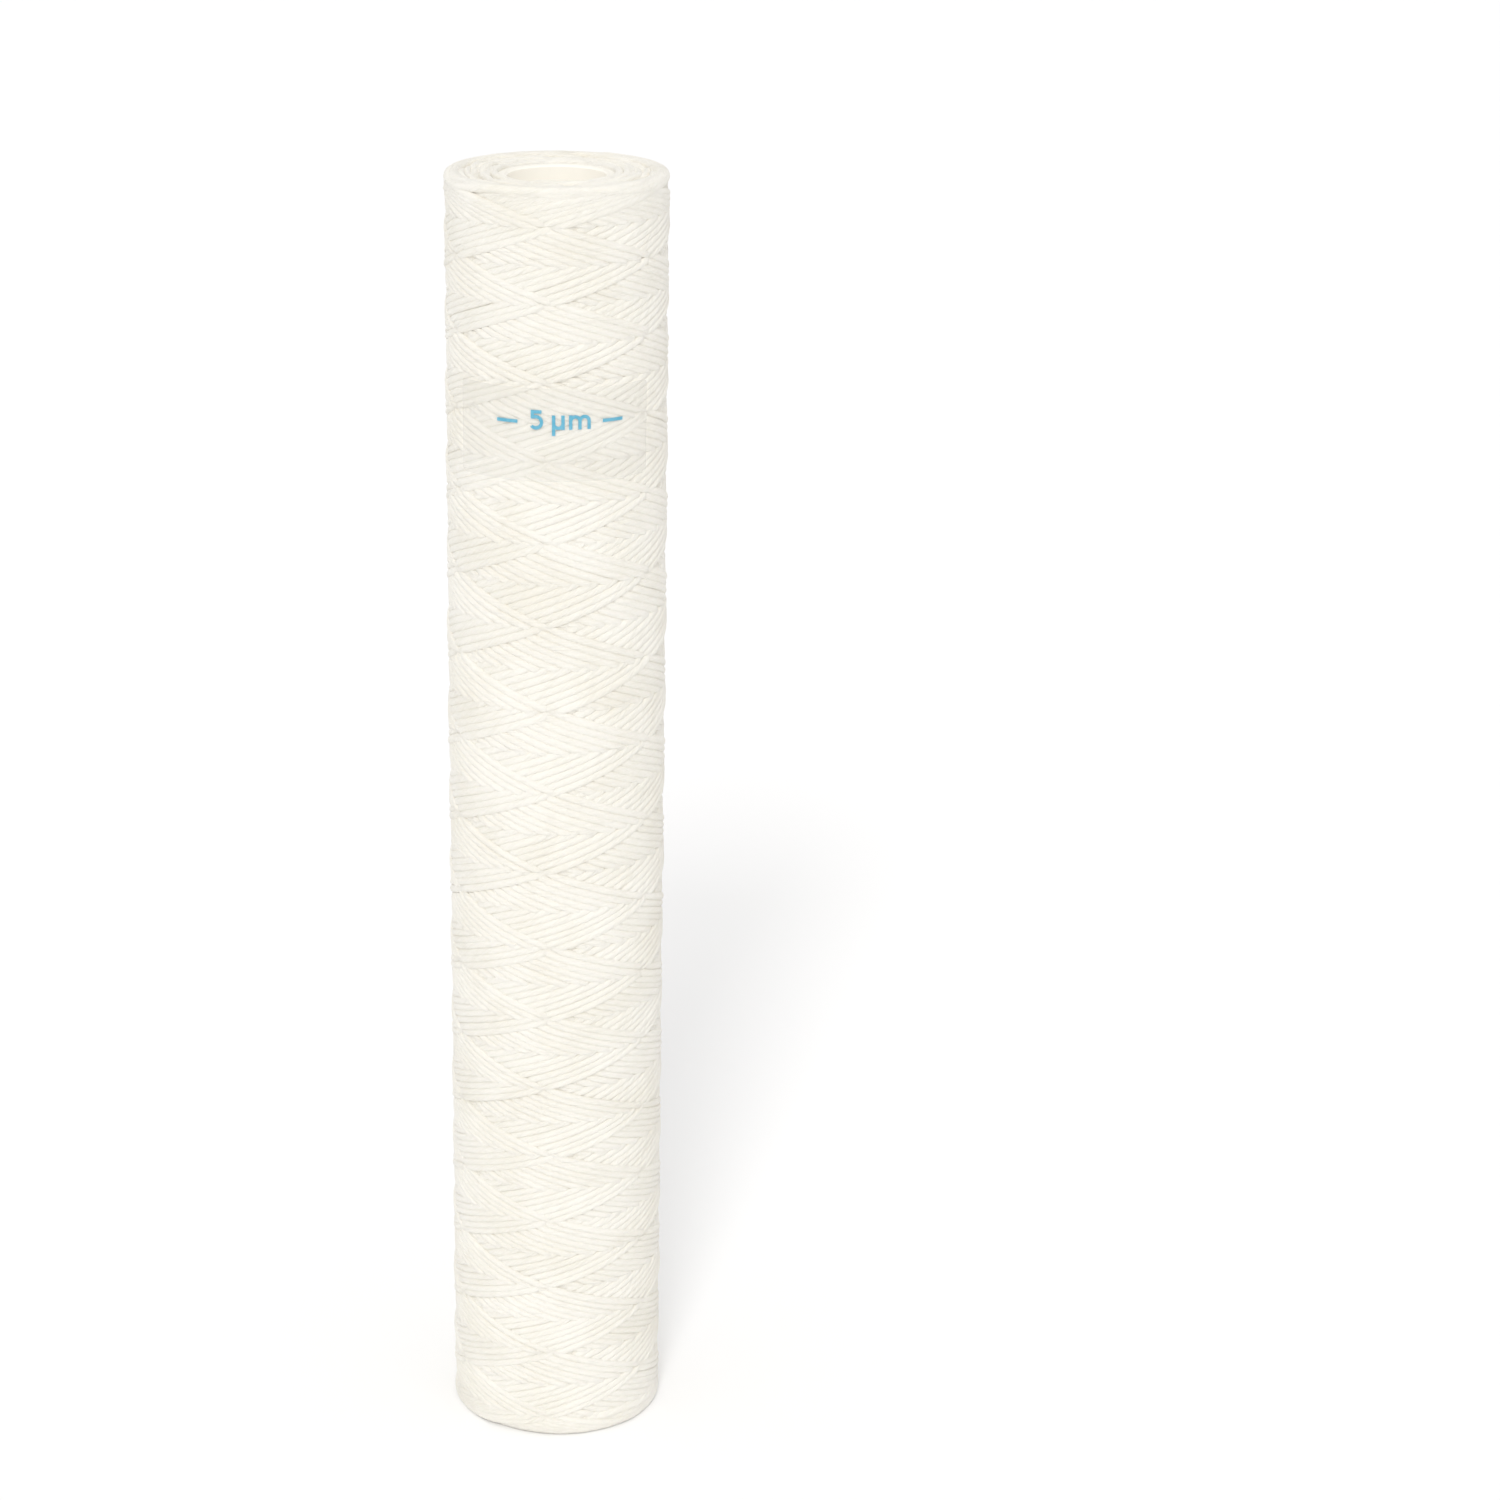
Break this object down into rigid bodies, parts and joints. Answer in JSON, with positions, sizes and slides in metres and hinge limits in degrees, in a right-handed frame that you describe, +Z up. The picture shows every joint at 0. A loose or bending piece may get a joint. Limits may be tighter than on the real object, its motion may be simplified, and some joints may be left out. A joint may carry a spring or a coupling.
{
  "type": "string-wound sediment filter cartridge",
  "caption": "White string-wound depth filter cartridge, open at both ends, that drops into a water filter housing and strains sediment from outside to centre.",
  "frame": {"origin": "centre of the bottom yarn end face, on the bore axis; the cartridge stands on it", "axes": "+Z up along the bore axis; -Y is the side with the printed label; +X is to the right of the label"},
  "size_m": [0.0636, 0.0636, 0.381],
  "materials": {
    "core_plastic": "satin moulded natural polypropylene",
    "scrim": "thin white nonwoven",
    "yarn": "soft fibrous warm white polypropylene yarn",
    "clear_film": "clear thin film, faint satin",
    "blue_ink": "flat printed light blue ink"
  },
  "bodies": {
    "root": {"core_lower_section": "core_plastic", "core_upper_section": "core_plastic", "core_wrap": "scrim", "winding_inner": "yarn", "winding_middle": "yarn", "winding_outer": "yarn", "yarn_tail": "yarn", "label_film": "clear_film", "label_print": "blue_ink"}
  },
  "joints": []
}
